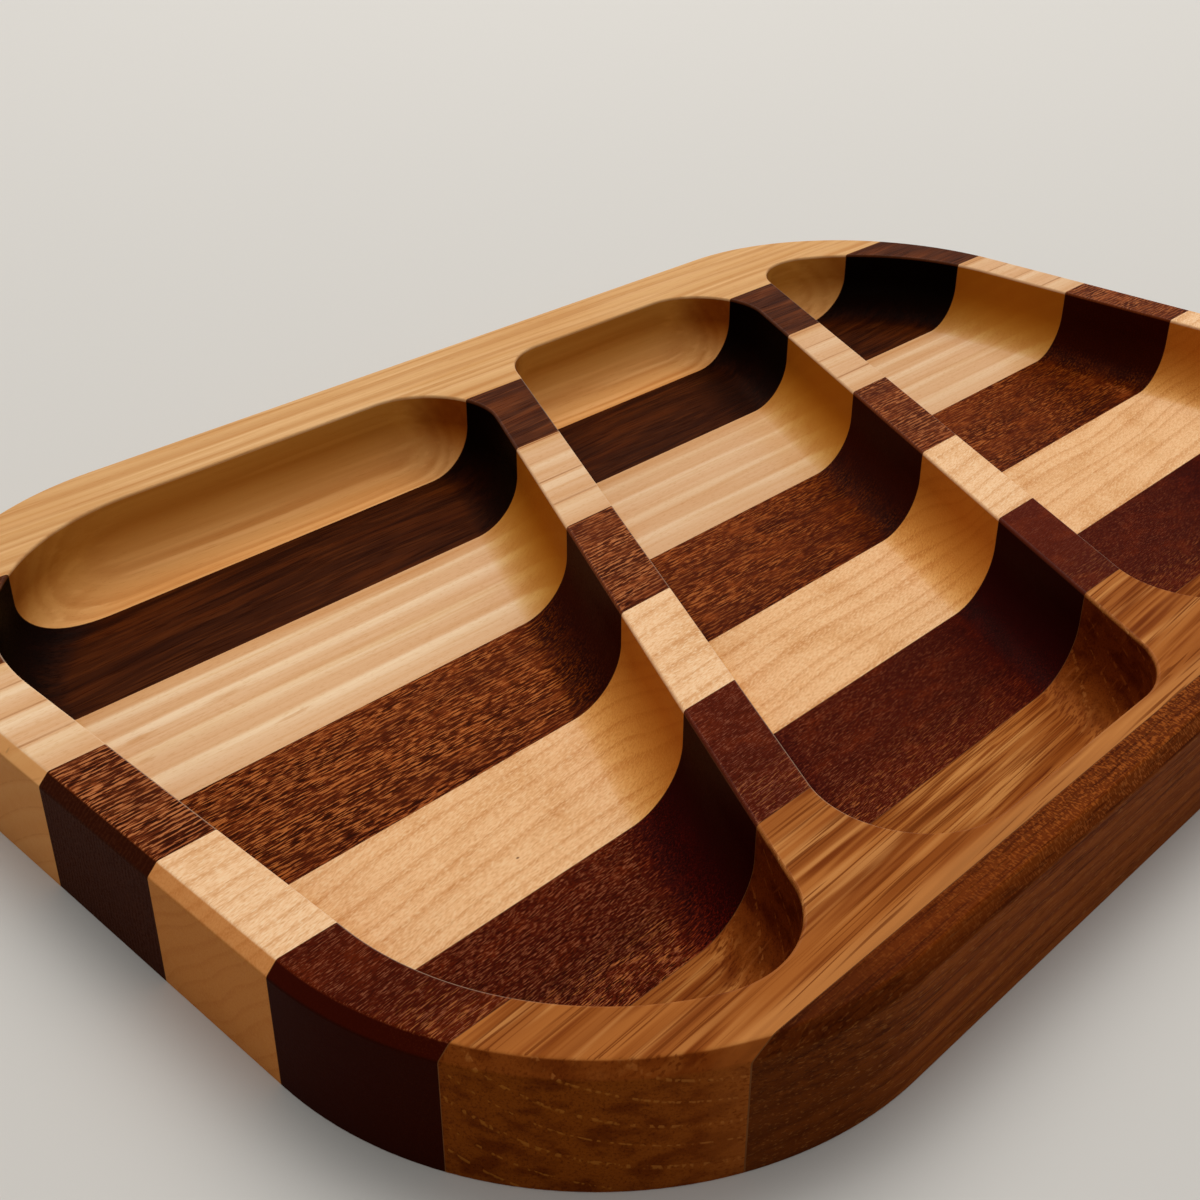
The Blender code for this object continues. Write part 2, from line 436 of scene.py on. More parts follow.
# %% [markdown]
# ### The board recipe
# The second tree puts a plank on each point that it is given, as wide as the point says, and
# keeps what the planks and the routed panel share. With one point it gives a board, and with
# seven thin ones the glue films. Edges that turn sharply stay sharp, while the coves and
# rounded corners are shaded smooth. The tree ends in real geometry with its wood on.

# %% A recipe that slices boards
boards, given = new_recipe("slice_boards", {
    "Plank length": "Float", "Plank height": "Float", "Sharp above": "Float", "Panel": "Object",
    "Wood": "Material",
})
plank_size = add(boards, "ShaderNodeCombineXYZ", {
    "X": given["Plank length"], "Y": stored(boards, "plank_width", "FLOAT"), "Z": given["Plank height"],
})
block = add(boards, "GeometryNodeMeshCube")
planks = add(boards, "GeometryNodeInstanceOnPoints", {
    "Points": given["Geometry"], "Instance": block.outputs["Mesh"], "Scale": plank_size.outputs[0],
})
real_planks = add(boards, "GeometryNodeRealizeInstances", {"Geometry": planks.outputs["Instances"]})
panel_info = add(boards, "GeometryNodeObjectInfo", {"Object": given["Panel"]})
sliced = add(boards, "GeometryNodeMeshBoolean", operation="INTERSECT", solver="EXACT")
for solid in (panel_info, real_planks):
    boards.links.new(solid.outputs["Geometry"], sliced.inputs["Mesh 2"])
smooth = add(boards, "GeometryNodeSetShadeSmooth", {
    "Geometry": sliced.outputs["Mesh"], "Shade Smooth": True,
}, domain="FACE")
fold = add(boards, "GeometryNodeInputMeshEdgeAngle").outputs["Unsigned Angle"]
is_sharp = add(boards, "FunctionNodeCompare", {
    "A": fold, "B": given["Sharp above"],
}, data_type="FLOAT", operation="GREATER_THAN")
creased = add(boards, "GeometryNodeSetShadeSmooth", {
    "Geometry": smooth.outputs["Geometry"], "Selection": is_sharp.outputs["Result"], "Shade Smooth": False,
}, domain="EDGE")
plain = add(boards, "GeometryNodeRealizeInstances", {"Geometry": creased.outputs["Geometry"]})
dressed = add(boards, "GeometryNodeSetMaterial", {
    "Geometry": plain.outputs["Geometry"], "Material": given["Wood"],
})
add(boards, "NodeGroupOutput", {"Geometry": dressed.outputs["Geometry"]})
print("nodes in the board recipe:", len(boards.nodes))

# %% [markdown]
# ### One board at a time
# A carrier mesh holds one point for each plank. The result is baked to a plain mesh, and
# weighted normals keep the flat faces flat next to the coves.

# %% Slice boards at the places that the frame gives
SHARP_ABOVE = math.radians(22)


def slice_boards(name, spans, wood):
    """Planks over these spans of Y, as one plain mesh at the origin, with even shading."""
    middles = [(0, (back + front) / 2, TRAY_THICKNESS / 2) for back, front in spans]
    widths = [back - front for back, front in spans]
    carrier = points_object(name + "_points", middles, [], {"plank_width": ("FLOAT", widths)})
    sliced_mesh = apply_recipe(carrier, boards, {
        "Plank length": TRAY_LENGTH + 2 * OVERRUN,
        "Plank height": TRAY_THICKNESS + 2 * OVERRUN,
        "Sharp above": SHARP_ABOVE,
        "Panel": panel,
        "Wood": wood,
    })
    bpy.data.objects.remove(carrier)
    piece = placed(name, sliced_mesh)
    even = piece.modifiers.new("even_shading", "WEIGHTED_NORMAL")
    even.keep_sharp = True
    graph = bpy.context.evaluated_depsgraph_get()
    finished = bpy.data.meshes.new_from_object(piece.evaluated_get(graph), depsgraph=graph)
    piece.modifiers.clear()
    piece.data = finished
    finished.name = name
    print(name, "triangles:", sum(len(face.vertices) - 2 for face in finished.polygons))
    return piece


# %% [markdown]
# ## Wood as a solid
# Real wood is a solid pattern: rings of growth round the heart of the tree, fibres and pores
# that run along it. A cut only shows a slice of that solid. So the woods here are computed
# in three dimensions from Object coordinates, and the same material gives bands on the top,
# contour lines in a cove and ring arcs on an end face, with nothing to line up by hand.
# One shared group computes the figure, and each wood colours it in its own way.

# %% Helpers for shader nodes
def colour(red, green, blue):
    """A colour from 0-255 sRGB, as the linear value that a shader takes."""
    linear = []
    for share in (red / 255, green / 255, blue / 255):
        linear.append(share / 12.92 if share <= 0.04045 else ((share + 0.055) / 1.055) ** 2.4)
    return (*linear, 1)


def calc(tree, operation, a, b=None, c=None, clamp=False):
    """One sum; takes numbers or links and gives back a link."""
    made = add(tree, "ShaderNodeMath", operation=operation, use_clamp=clamp)
    for socket, value in zip(made.inputs, (a, b, c)):
        if value is not None:
            feed(tree, socket, value)
    return made.outputs[0]


def times(tree, product, *others):
    """Numbers or links multiplied."""
    for other in others:
        product = calc(tree, "MULTIPLY", product, other)
    return product


def spread(tree, value, low, high, out_low=0.0, out_high=1.0):
    """Turns the range low to high into another one, with soft ends."""
    return add(tree, "ShaderNodeMapRange", {
        "Value": value, "From Min": low, "From Max": high, "To Min": out_low, "To Max": out_high,
    }, interpolation_type="SMOOTHSTEP").outputs["Result"]


def stretch(tree, place, lengths):
    """Divides the place by a length along each axis, so that a pattern has that grain size."""
    return joined(tree, "MULTIPLY", place, tuple(1 / length for length in lengths))


def cloud(tree, place, detail=2.0, roughness=0.5, answer="Fac"):
    """Soft noise from 0 to 1 whose lumps are about one unit across."""
    return add(tree, "ShaderNodeTexNoise", {
        "Vector": place, "Scale": 1.0, "Detail": detail, "Roughness": roughness,
    }).outputs[answer]


def mixed(tree, factor, under, over, way="MIX"):
    """Lays one colour over another."""
    made = add(tree, "ShaderNodeMix", data_type="RGBA", blend_type=way)
    feed(tree, made.inputs[0], factor)
    feed(tree, made.inputs[6], under)
    feed(tree, made.inputs[7], over)
    return made.outputs[2]


# %% [markdown]
# ### The shared figure
# The group turns a place in the board into rings, fibres and grit, and also says how the
# surface was cut: how steep it is and whether the bit cut it. In the middle and the right pocket
# it says too how near the wall on the right is, which places painted shade on the floor to the
# left of that wall. It also marks where a painted highlight lies on a pocket's lip facing the light.
# Each wood gives the group a start, so that no two boards show the same figure.

# %% The figure that every wood shares
MM = 1000.0
ASKED = {
    "Start": "Vector", "Heart": "Vector", "Ring width": "Float", "First ring": "Float",
    "Uneven years": "Float", "Wander": "Float", "Run-out": "Float",
}
DRIFT_SIZE, BROAD_SIZE, GRIT_SIZE = (70, 24, 24), (60, 9, 9), (0.35, 0.35, 0.35)
SEASONS_PER_RING = 0.45
SIDEWAYS_LOSS, LIT = -0.8, (0.1, 0.35)
# In millimetres: how far the painted shade reaches to the left of a wall, near and wide, the stretch where
# that counts, and heights
LEE_SHADE_REACH, SHELTER_SHADE_REACH = (19.0, 9.5), (60.0, 12.0)
RIGHT_LIMIT, LEFT_LIMIT = -70, 78
MOUTH_FROM, MOUTH_TO, LIP_TO = 18.8, 19.1, 19.3

figure = bpy.data.node_groups.new("wood_figure", "ShaderNodeTree")
for label, kind in ASKED.items():
    figure.interface.new_socket(label, in_out="INPUT", socket_type="NodeSocket" + kind)
asked = figure.nodes.new("NodeGroupInput").outputs

# Place in millimetres, leaning a little off the board's length and wandering as a tree grows
spot = add(figure, "ShaderNodeTexCoord").outputs
in_mm = scaled(figure, spot["Object"], MM)
mm_x, mm_y, mm_z = add(figure, "ShaderNodeSeparateXYZ", {0: in_mm}).outputs
lean = add(figure, "ShaderNodeCombineXYZ", {"Y": times(figure, mm_x, asked["Run-out"])}).outputs[0]
leaning = joined(figure, "ADD", joined(figure, "ADD", in_mm, asked["Start"]), lean)
drift = cloud(figure, stretch(figure, leaning, DRIFT_SIZE), 1.5, answer="Color")
centred = joined(figure, "SUBTRACT", drift, (0.5, 0.5, 0.5))
grown = joined(figure, "ADD", leaning, scaled(figure, centred, asked["Wander"]))

# Rings about the heart, with good and poor years
from_heart = joined(figure, "SUBTRACT", grown, joined(figure, "ADD", asked["Heart"], asked["Start"]))
flat = joined(figure, "MULTIPLY", from_heart, (0, 1, 1))
ring_y, ring_z = add(figure, "ShaderNodeSeparateXYZ", {0: flat}).outputs[1:]
distance = add(figure, "ShaderNodeVectorMath", {0: flat}, operation="LENGTH").outputs["Value"]
even_rings = calc(figure, "DIVIDE", distance, asked["Ring width"])
seasons = add(figure, "ShaderNodeTexNoise", {
    "W": even_rings, "Scale": SEASONS_PER_RING, "Detail": 1.0,
}, noise_dimensions="1D").outputs["Fac"]
phased = calc(figure, "ADD", even_rings, asked["First ring"])
rings = calc(figure, "MULTIPLY_ADD", seasons, asked["Uneven years"], phased)
whole_rings = {"W": calc(figure, "FLOOR", rings)}
year = add(figure, "ShaderNodeTexWhiteNoise", whole_rings, noise_dimensions="1D").outputs["Value"]

# How far this point lies to the left of the second divider, or of the place one spacing further
# right, where the right pocket ends
slope = math.tan(DIVIDER_SLANT)
pitch = DIVIDER_SPACING * MM
slanted = calc(figure, "MULTIPLY_ADD", mm_y, -slope, mm_x)
to_middle = calc(figure, "SUBTRACT", (DIVIDER_SPACING / 2 - FIELD_MIDDLE * slope) * MM, slanted)
in_pocket = calc(figure, "FLOORED_MODULO", to_middle, pitch)
to_wall = calc(figure, "MULTIPLY_ADD", in_pocket, math.cos(DIVIDER_SLANT), -DIVIDER_THICKNESS * MM / 2)
right_end = spread(figure, to_middle, -pitch, RIGHT_LIMIT)
counts = times(figure, right_end, spread(figure, to_middle, pitch, LEFT_LIMIT))

# How the cut lies: facing along the board, steep or flat, routed or not, and turned to the light
facing_x, facing_y, facing_z = add(figure, "ShaderNodeSeparateXYZ", {0: spot["Normal"]}).outputs
routed = add(figure, "ShaderNodeAttribute", attribute_name="routed").outputs["Fac"]
lit = calc(figure, "MULTIPLY_ADD", calc(figure, "ABSOLUTE", facing_y), SIDEWAYS_LOSS, facing_x)
told = {
    "Ring": calc(figure, "FRACT", rings),
    "Year": year,
    "Broad": cloud(figure, stretch(figure, grown, BROAD_SIZE)),
    "Grit": cloud(figure, stretch(figure, in_mm, GRIT_SIZE), 2.0, 0.7),
    "Round": calc(figure, "ARCTAN2", ring_z, ring_y),
    "Reach": distance,
    "Along": calc(figure, "ABSOLUTE", facing_x),
    "Steep": calc(figure, "SUBTRACT", 1.0, calc(figure, "ABSOLUTE", facing_z)),
    "Routed": times(figure, routed, spread(figure, mm_z, MOUTH_TO, MOUTH_FROM)),
    "Mouth": times(figure, routed, spread(figure, mm_z, MOUTH_FROM, MOUTH_TO)),
    # Next, the mask for a painted highlight on the rounded lip where it faces the light
    "Lip": times(figure, routed, spread(figure, mm_z, MOUTH_TO, LIP_TO), spread(figure, lit, *LIT)),
    # Next, the mask for painted shade on the floor just to the left of a wall
    "Lee": times(figure, spread(figure, to_wall, *LEE_SHADE_REACH), counts),
    # Next, a wider mask for painted shade on the pocket floor to the left of a wall
    "Shelter": times(figure, spread(figure, to_wall, *SHELTER_SHADE_REACH), counts, routed),
    "Place": grown,
    "Spot": in_mm,
}
for label in told:
    kind = "NodeSocketVector" if label in ("Place", "Spot") else "NodeSocketFloat"
    figure.interface.new_socket(label, in_out="OUTPUT", socket_type=kind)
answer = figure.nodes.new("NodeGroupOutput").inputs
for label, value in told.items():
    feed(figure, answer[label], value)
print("nodes in the wood figure:", len(figure.nodes))

# %% [markdown]
# ## From a figure to a finish
# A wood's colour is built up as a finisher sees it: the ground colour with its growth bands,
# the fine fibres, and the pores that fill with oil. So a wood is kept as its material and its
# colour so far, and each call lays one more pattern over it, by tint or by paint. Lengths are
# in millimetres, along the board and across it. A paint is given in a picture's 0 to 255, and a
# tint as the share of red, green and blue that it leaves.

# %% A wood and the layers of its colour
RAGGEDNESS, FLECK_EDGE = 1.2, (1.6, 0.7)


class Wood:
    """A wood's material and its colour so far."""

    def __init__(
        self, name, start, heart, ring_width, first_ring=0.0, uneven=1.5, wander=4.0, run_out=0.0,
    ):
        """Starts the material with the figure in it, at this place along the tree."""
        self.material = bpy.data.materials.new(name)
        self.material.use_nodes = True
        self.tree = self.material.node_tree
        self.tree.nodes.clear()
        shared = add(self.tree, "ShaderNodeGroup", node_tree=figure)
        values = ((start, 0, 0), heart, ring_width, first_ring, uneven, wander, run_out)
        for label, value in zip(ASKED, values):
            shared.inputs[label].default_value = value
        self.of = shared.outputs

    def times(self, *shares):
        """Several shares multiplied."""
        return times(self.tree, *shares)

    def spread(self, share, low, high, out_low=0.0, out_high=1.0):
        """Turns the range low to high into another one, with soft ends."""
        return spread(self.tree, share, low, high, out_low, out_high)

    def part(self, axis, place="Spot"):
        """One coordinate, of the spot on the tray or of the place in the tree."""
        return add(self.tree, "ShaderNodeSeparateXYZ", {0: self.of[place]}).outputs[axis]

    def grain(self, length, thickness, detail=1.0, tilt=0.0, shift=0.0):
        """Noise whose lumps are this long along the board and this thick across it."""
        place = joined(self.tree, "ADD", self.of["Place"], (shift, shift, shift))
        if tilt:
            rise = self.times(self.part("X", "Place"), tilt)
            sideways = add(self.tree, "ShaderNodeCombineXYZ", {"Y": rise}).outputs[0]
            place = joined(self.tree, "ADD", place, sideways)
        return cloud(self.tree, stretch(self.tree, place, (length, thickness, thickness)), detail)

    def across(self, y_from, y_to):
        """0 to 1 over a stretch of the board's width."""
        return self.spread(self.part("Y"), y_from, y_to)

    def along(self, x_from, x_to, share_from=0.0, share_to=1.0):
        """One share to another over a stretch of the board's length."""
        return self.spread(self.part("X"), x_from, x_to, share_from, share_to)

    def fleck(self, centre, lengths):
        """1 in the middle of a small mark at this place, fading to 0 at its ragged edge."""
        away = stretch(self.tree, joined(self.tree, "SUBTRACT", self.of["Spot"], centre), lengths)
        distance = add(self.tree, "ShaderNodeVectorMath", {0: away}, operation="LENGTH").outputs["Value"]
        ragged = calc(self.tree, "MULTIPLY_ADD", self.grain(3, 0.5, 2), RAGGEDNESS, distance)
        return self.spread(ragged, *FLECK_EDGE)

    def ground(self, early, late, start, peak, strength=1.0):
        """The first colour: each ring slides from its early wood to a band of late wood."""
        ring = self.of["Ring"]
        band = self.times(self.spread(ring, start, peak), self.spread(ring, 1.0, peak), strength)
        self.shade = mixed(self.tree, band, colour(*early), colour(*late))

    def tint(self, share, tint, low=0.0, high=1.0):
        """Multiplies the colour towards a tint, as far as a pattern says."""
        deeper = mixed(self.tree, 1.0, self.shade, (*tint, 1), "MULTIPLY")
        self.shade = mixed(self.tree, self.spread(share, low, high), self.shade, deeper)

    def lay(self, share, paint, low=0.0, high=1.0, most=1.0):
        """Lays a colour over the wood where a pattern is strong."""
        self.shade = mixed(self.tree, self.spread(share, low, high, 0.0, most), self.shade, colour(*paint))

    def fill(self, pores, most, paint):
        """Fills the pores with a dark colour."""
        self.shade = mixed(self.tree, self.times(pores, most), self.shade, colour(*paint))


# %% [markdown]
# ### The cut and the shader
# One tint stands for each kind of cut: the planed top keeps its own colour, and the pocket floor,
# the bevel, the sides and the ends each get a tint. The steeper a routed wall cuts into the grain,
# the darker it gets, and colour then falls off as it does in any filter: a strong colour raised to
# a power. That darkening is partly oil going deeper into the grain and partly painted shade for
# the coves and walls. In the middle and the right pocket painted shade also lies on the floor to
# the left of the wall on the right, where that wall would shade it. The bit burnishes steep walls,
# so the figure fades there, and sawn ends show no figure either. The lip of a pocket is sanded
# round, so it keeps the top's colour, and where it faces the light it has a painted highlight, a
# paler colour. The sheen is low, because oil leaves no film, and pores are real dents in a bump.

# %% Helpers for the cut and the shader
SHEEN = 0.012
ARRIS_SHEEN = 0.04
SHEEN_TINT = (1.0, 0.84, 0.66, 1)
# The pale colour of the painted highlight on a pocket's lip where it faces the light
PAINTED_LIP_HIGHLIGHT = colour(246, 218, 184)
LIP_HIGHLIGHT_SHARE, MOUTH_SHARE = 0.3, 0.85
PORE_ROUGHNESS, FIBRE_ROUGHNESS = 0.12, 0.16
FIBRE_RELIEF = 0.00002
SANDING_GRIT = 0.5
PLAIN = (1, 1, 1, 1)
# How steep a face is, and how far it faces along the board, where one cut gives way to another
TOP_TO_BEVEL, BEVEL_TO_SIDE = (0.06, 0.26), (0.34, 0.75)
SIDE_TO_END, WALL_TO_END, LONG_TO_END_GRAIN = (0.2, 0.8), (0.3, 0.88), (0.25, 0.7)
FLOOR_TO_BURNISHED = (0.03, 0.5)
# Cuts: the wall tint with its foot and rise is partly painted shade, and the weight after it sets painted
# shade on the floor to the left of a wall
Cuts = namedtuple("Cuts", "floor wall foot rise lee bevel side end wall_end", defaults=[None])


def cut_tint(wood, cuts):
    """One tint for the way the surface is cut: top, pocket floor, wall, bevel, side or end, with painted
    shade on the walls and on the floor beside them.
    """
    tree, of = wood.tree, wood.of
    # Steep walls darken partly from oil and partly as painted shade, and painted shade lies on the floor to
    # the left of a wall
    soaked_and_shaded = calc(tree, "POWER", calc(tree, "DIVIDE", of["Steep"], cuts.foot, clamp=True), cuts.rise)
    soaked_and_shaded = calc(tree, "MAXIMUM", soaked_and_shaded, wood.times(of["Lee"], cuts.lee))
    wall_end = cuts.wall_end or cuts.wall
    wall_tint_and_shade = mixed(tree, wood.spread(of["Along"], *WALL_TO_END), (*cuts.wall, 1), (*wall_end, 1))
    filtered = add(tree, "ShaderNodeGamma", {"Color": wall_tint_and_shade, "Gamma": soaked_and_shaded}).outputs[0]
    inner = mixed(tree, 1.0, filtered, (*cuts.floor, 1), "MULTIPLY")
    outer = mixed(tree, wood.spread(of["Steep"], *TOP_TO_BEVEL), PLAIN, (*cuts.bevel, 1))
    sawn = mixed(tree, wood.spread(of["Along"], *SIDE_TO_END), (*cuts.side, 1), (*cuts.end, 1))
    outer = mixed(tree, wood.spread(of["Steep"], *BEVEL_TO_SIDE), outer, sawn)
    tint = mixed(tree, of["Routed"], outer, inner)
    return mixed(tree, wood.times(of["Mouth"], MOUTH_SHARE), tint, PLAIN)


def finish(wood, fibre, pores, plain, quiet, roughness, pore_dent, ends=None, **cuts):
    """The shader: colour by cut with its painted shade, a painted highlight on the lip, satin roughness,
    and dents for pores and fibres.
    """
    tree, of = wood.tree, wood.of
    end_grain = wood.spread(of["Along"], *LONG_TO_END_GRAIN)
    burnished = wood.spread(of["Steep"], *FLOOR_TO_BURNISHED)
    fading = wood.times(mixed(tree, of["Routed"], end_grain, burnished), quiet)
    shade = mixed(tree, fading, wood.shade, colour(*plain))
    if ends:
        shade = mixed(tree, end_grain, shade, ends)
    finished = mixed(tree, 1.0, shade, cut_tint(wood, Cuts(**cuts)), "MULTIPLY")
    # A painted highlight: the lip is laid paler where it faces the light
    finished = mixed(tree, wood.times(of["Lip"], LIP_HIGHLIGHT_SHARE), finished, PAINTED_LIP_HIGHLIGHT)
    satin = calc(tree, "MULTIPLY_ADD", fibre, FIBRE_ROUGHNESS, roughness - FIBRE_ROUGHNESS / 2)
    sanded = calc(tree, "MULTIPLY_ADD", of["Grit"], SANDING_GRIT, fibre)
    fibre_bump = add(tree, "ShaderNodeBump", {"Height": sanded, "Distance": FIBRE_RELIEF, "Strength": 1.0})
    pore_bump = add(tree, "ShaderNodeBump", {
        "Height": wood.times(pores, calc(tree, "SUBTRACT", 1.0, fading)), "Distance": pore_dent,
        "Strength": 1.0, "Normal": fibre_bump.outputs[0],
    }, invert=True)
    shader = add(tree, "ShaderNodeBsdfPrincipled", {
        "Base Color": finished, "Normal": pore_bump.outputs[0], "Specular Tint": SHEEN_TINT,
        "Roughness": calc(tree, "MULTIPLY_ADD", pores, PORE_ROUGHNESS, satin),
        "Specular IOR Level": calc(tree, "MULTIPLY_ADD", of["Mouth"], ARRIS_SHEEN, SHEEN),
    })
    add(tree, "ShaderNodeOutputMaterial", {"Surface": shader.outputs[0]})
    print("finish:", wood.material.name, "nodes:", len(tree.nodes))
    return wood.material


# %% [markdown]
# ### The back board
# An ash-like board: golden, with long soft bands a few millimetres wide and hardly any
# visible pores. Its rings stand nearly upright here, so the bands run straight along the board.
# The bands come from the rings, and two long stretched noises blur them as real grain does.

# %% Ash: golden, straight soft bands
wood = Wood("ash_oiled", 0, (0, 190, -40), ring_width=3.4, uneven=1.2, wander=2.5, run_out=0.004)
fibre = wood.grain(40, 0.45, 3)
wood.ground((225, 176, 120), (211, 157, 101), 0.1, 0.7)
wood.tint(wood.of["Year"], (0.96, 0.93, 0.88), 0.3, 1.0)
wood.lay(wood.grain(70, 1.6, shift=5), (236, 190, 136), 0.5, 0.72, 0.7)
wood.tint(wood.of["Broad"], (0.94, 0.88, 0.8), 0.42, 0.75)
wood.tint(wood.grain(70, 1.8), (0.93, 0.86, 0.77), 0.48, 0.72)
wood.tint(fibre, (0.95, 0.91, 0.86), 0.48, 0.75)
pores = wood.spread(wood.grain(4, 0.22), 0.62, 0.72)
wood.tint(pores, (0.92, 0.86, 0.78))
ash = finish(
    wood, fibre, pores, plain=(220, 168, 113), quiet=0.45, roughness=0.46, pore_dent=0.00001,
    floor=(1.1, 0.96, 0.77), wall=(0.66, 0.56, 0.25), wall_end=(0.3, 0.135, 0.025),
    foot=1.0, rise=1.6, lee=0.0, bevel=(1.02, 1.02, 1.0), side=(1.0, 1.0, 0.95), end=(0.95, 0.93, 0.85),
)

# %% [markdown]
# ### The walnut board
# Walnut is nearly black here, a brown base with warmer patches that flow along the board. Its
# end grain goes almost black, and so do its steep walls, partly through painted shade. Broad
# stretched noise gives the patches, and a finer one the streaks inside them.

# %% Walnut: nearly black brown with warm streaks
wood = Wood("walnut_oiled", 40, (0, 60, -90), ring_width=4.2, wander=6.0, run_out=-0.01)
fibre = wood.grain(24, 0.5, 3)
wood.ground((78, 36, 14), (68, 29, 10), 0.2, 0.8)
wood.lay(wood.grain(34, 3.6, 2, shift=31), (108, 52, 18), 0.46, 0.68, 0.8)
wood.lay(wood.grain(14, 0.7, 2, shift=43), (114, 60, 28), 0.51, 0.68, 0.55)
wood.tint(wood.grain(40, 2.0, 2, shift=9), (0.58, 0.49, 0.42), 0.46, 0.68)
pores = wood.spread(wood.grain(9, 0.3), 0.54, 0.66)
wood.tint(pores, (0.64, 0.56, 0.5))
walnut = finish(
    wood, fibre, pores, plain=(80, 39, 17), quiet=0.8, roughness=0.44, pore_dent=0.00002,
    floor=(0.55, 0.46, 0.28), wall=(0.032, 0.02, 0.01), foot=0.75, rise=0.48, lee=0.3,
    bevel=(0.4, 0.3, 0.24), side=(0.5, 0.4, 0.35), end=(0.3, 0.22, 0.16),
)

# %% [markdown]
# ### The poplar board
# Poplar is creamy, with five broad soft bands. Each year ends in a bright line, and the next
# one starts tan, so the ground rises slowly to the line and drops behind it. The tree's heart
# lies in front of the board and well below it, which makes the bands wider towards the front.
# On the planed top a thin brown line closes each year, and the routed floors have lost it.
# A few brown mineral marks are placed where the photograph shows them.

# %% Poplar: cream with broad light and tan bands
MARKS = {
    (-116.0, 31.2, 4.3): (5.0, 1.3, 3), (-118.4, 25.4, 4.3): (2.6, 0.9, 3),
    (-99.0, 31.8, 4.3): (7.0, 1.0, 3), (-94.5, 19.3, 4.3): (5.0, 0.8, 3),
    (-141.2, 22.8, 18.4): (3.0, 1.6, 3),
}
wood = Wood("poplar_oiled", 90, (0, -20, -53), 4.22, first_ring=0.35, uneven=0.0, wander=1.0, run_out=0.006)
fibre = wood.grain(30, 0.5, 3)
wood.ground((231, 185, 141), (248, 216, 178), 0.3, 0.86, wood.along(-100, 20, 1.0, 0.55))
wood.tint(wood.of["Year"], (0.97, 0.94, 0.9), 0.3, 1.0)
wood.tint(wood.grain(45, 3.0, 2), (0.93, 0.86, 0.77), 0.45, 0.75)
wood.tint(wood.grain(40, 0.9, 2, shift=17), (0.95, 0.9, 0.83), 0.45, 0.7)
wood.tint(fibre, (0.97, 0.93, 0.89), 0.45, 0.7)
ring = wood.of["Ring"]
closing = calc(wood.tree, "MAXIMUM", wood.spread(ring, 0.09, 0.03), wood.spread(ring, 0.985, 1.0))
planed = calc(wood.tree, "SUBTRACT", 1.0, wood.of["Routed"])
wood.tint(wood.times(closing, planed, wood.grain(25, 2, shift=51)), (0.6, 0.46, 0.34), 0.15, 0.75)
wood.tint(wood.along(-105, 30), (0.94, 0.93, 0.93))
for centre, lengths in MARKS.items():
    wood.lay(wood.fleck(centre, lengths), (206, 144, 84), most=0.45)
wood.lay(wood.fleck((-139.7, 22.9, 18.5), (0.7, 0.4, 0.7)), (74, 36, 12))
wood.tint(wood.across(38, 42.5), (0.88, 0.77, 0.63))
pores = wood.spread(wood.grain(1.2, 0.25), 0.54, 0.72)
wood.tint(pores, (0.93, 0.88, 0.82))
poplar = finish(
    wood, fibre, pores, plain=(232, 186, 140), quiet=0.75, roughness=0.46, pore_dent=0.00001,
    floor=(1.02, 1.04, 1.05), wall=(0.48, 0.225, 0.024), foot=0.8, rise=0.5, lee=0.05,
    bevel=(0.96, 0.75, 0.48), side=(0.77, 0.63, 0.39), end=(0.62, 0.43, 0.23),
)

# %% [markdown]
# ### The sapele board
# Sapele has coarse open grain: light and dark rows lie a little under a millimetre apart, and
# short pores break them into dashes. The rows are an even wave that a slow noise bends, and a
# short noise adds the dashes. Where the sum is high the row is light, where it is low it is
# dark. The figure is liveliest on the left rim, and a dark streak lies along the front.

# %% Sapele: red-brown, coarse open grain of dark and light rows
ROW_TURNS = 2 * math.pi / 0.85
wood = Wood("sapele_oiled", 150, (0, 40, -140), ring_width=5.0, wander=3.0, run_out=0.02)
fibre = wood.grain(20, 0.5, 3)
lively = wood.times(
    wood.along(-128, 10, 1.0, 0.6), calc(wood.tree, "MULTIPLY_ADD", wood.of["Routed"], -0.1, 1.0),
    wood.spread(wood.grain(18, 4, shift=77), 0.36, 0.58, 0.7, 1.15),
)
bends = wood.times(wood.grain(12, 2.5, shift=7), 9.0)
rows = calc(wood.tree, "SINE", calc(wood.tree, "MULTIPLY_ADD", wood.part("Y", "Place"), ROW_TURNS, bends))
dashes = calc(wood.tree, "MULTIPLY_ADD", wood.grain(2.2, 0.27, 2, tilt=-0.04), 0.9, 0.05)
row_weight = calc(wood.tree, "MULTIPLY_ADD", wood.of["Routed"], -0.04, 0.08)
weave = calc(wood.tree, "MULTIPLY_ADD", rows, row_weight, dashes)
wood.ground((112, 48, 16), (98, 40, 12), 0.2, 0.8)
wood.tint(wood.grain(10, 3.5, 2, shift=3), (0.66, 0.54, 0.46), 0.42, 0.66)
wood.lay(wood.grain(5, 2.5, 2, shift=57), (150, 74, 32), 0.5, 0.72, 0.6)
wood.lay(wood.times(wood.spread(weave, 0.51, 0.61), lively), (194, 118, 68), most=0.85)
pores = wood.times(wood.spread(weave, 0.49, 0.41), lively)
wood.fill(pores, 0.97, (46, 13, 3))
wood.tint(wood.across(-10.5, -13.5), (0.8, 0.68, 0.62))
# Painted shade on the pocket floors to the left of the wall on the right, in the middle and the right
# pocket
wood.tint(wood.of["Shelter"], (0.84, 0.78, 0.62))
sapele = finish(
    wood, fibre, pores, plain=(108, 46, 15), quiet=0.85, roughness=0.46, pore_dent=0.00003,
    floor=(0.96, 0.84, 0.6), wall=(0.18, 0.088, 0.005), foot=0.3, rise=0.3, lee=0.25,
    bevel=(0.22, 0.19, 0.22), side=(0.45, 0.4, 0.4), end=(0.2, 0.185, 0.17),
)

